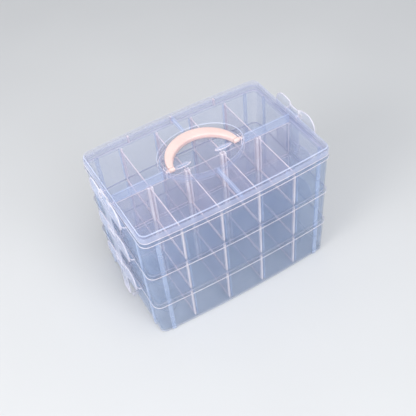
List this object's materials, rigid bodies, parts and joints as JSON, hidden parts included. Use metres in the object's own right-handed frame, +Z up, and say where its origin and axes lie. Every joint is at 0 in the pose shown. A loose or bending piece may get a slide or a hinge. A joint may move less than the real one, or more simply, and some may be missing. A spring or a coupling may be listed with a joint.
{
  "type": "craft storage box",
  "caption": "Stack-and-carry craft storage box: divided trays that lift apart, a lid with a folding handle in a round recess, and swinging side latches.",
  "frame": {"origin": "bottom centre of the box: the middle of the lowest tray's underside", "axes": "+X along the long side, +Y to the back, the side the handle folds to, +Z up"},
  "size_m": [0.257, 0.1662, 0.186],
  "materials": {
    "shell": "clear, slightly frosted",
    "divider": "clear, slightly frosted",
    "latch": "clear, slightly frosted",
    "handle": "smooth"
  },
  "bodies": {
    "base": {"tray_bottom": "shell", "divider_bottom_front_1": "divider", "divider_bottom_front_2": "divider", "divider_bottom_front_3": "divider", "divider_bottom_front_4": "divider", "divider_bottom_back_1": "divider", "divider_bottom_back_2": "divider", "divider_bottom_back_3": "divider", "divider_bottom_back_4": "divider"},
    "middle": {"tray_middle": "shell", "divider_middle_front_1": "divider", "divider_middle_front_2": "divider", "divider_middle_front_3": "divider", "divider_middle_front_4": "divider", "divider_middle_back_1": "divider", "divider_middle_back_2": "divider", "divider_middle_back_3": "divider", "divider_middle_back_4": "divider"},
    "top": {"tray_top": "shell", "divider_top_front_1": "divider", "divider_top_front_2": "divider", "divider_top_front_3": "divider", "divider_top_front_4": "divider", "divider_top_back_1": "divider", "divider_top_back_2": "divider", "divider_top_back_3": "divider", "divider_top_back_4": "divider"},
    "lid": {"lid": "shell"},
    "handle": {"carry_handle": "handle"},
    "latch_lid_left": {"latch_lid_left": "latch"},
    "latch_lid_right": {"latch_lid_right": "latch"},
    "latch_top_left": {"latch_top_left": "latch"},
    "latch_top_right": {"latch_top_right": "latch"},
    "latch_middle_left": {"latch_middle_left": "latch"},
    "latch_middle_right": {"latch_middle_right": "latch"}
  },
  "joints": [
    {"name": "middle_lift", "type": "slide", "parent": "base", "child": "middle", "axis": [0, 0, 1], "range_m": [0, 0.06]},
    {"name": "top_lift", "type": "slide", "parent": "middle", "child": "top", "axis": [0, 0, 1], "range_m": [0, 0.06]},
    {"name": "lid_lift", "type": "slide", "parent": "top", "child": "lid", "axis": [0, 0, 1], "range_m": [0, 0.06]},
    {"name": "handle_turn", "type": "hinge", "parent": "lid", "child": "handle", "pos_m": [0, 0, 0.173], "axis": [1, 0, 0], "range_deg": [0, 140]},
    {"name": "latch_lid_left_turn", "type": "hinge", "parent": "lid", "child": "latch_lid_left", "pos_m": [-0.12405, 0, 0.1747], "axis": [0, 1, 0], "range_deg": [0, 30]},
    {"name": "latch_lid_right_turn", "type": "hinge", "parent": "lid", "child": "latch_lid_right", "pos_m": [0.12405, 0, 0.1747], "axis": [0, -1, 0], "range_deg": [0, 30]},
    {"name": "latch_top_left_turn", "type": "hinge", "parent": "top", "child": "latch_top_left", "pos_m": [-0.12405, 0, 0.1202], "axis": [0, 1, 0], "range_deg": [0, 30]},
    {"name": "latch_top_right_turn", "type": "hinge", "parent": "top", "child": "latch_top_right", "pos_m": [0.12405, 0, 0.1202], "axis": [0, -1, 0], "range_deg": [0, 30]},
    {"name": "latch_middle_left_turn", "type": "hinge", "parent": "middle", "child": "latch_middle_left", "pos_m": [-0.12405, 0, 0.0657], "axis": [0, 1, 0], "range_deg": [0, 30]},
    {"name": "latch_middle_right_turn", "type": "hinge", "parent": "middle", "child": "latch_middle_right", "pos_m": [0.12405, 0, 0.0657], "axis": [0, -1, 0], "range_deg": [0, 30]}
  ]
}
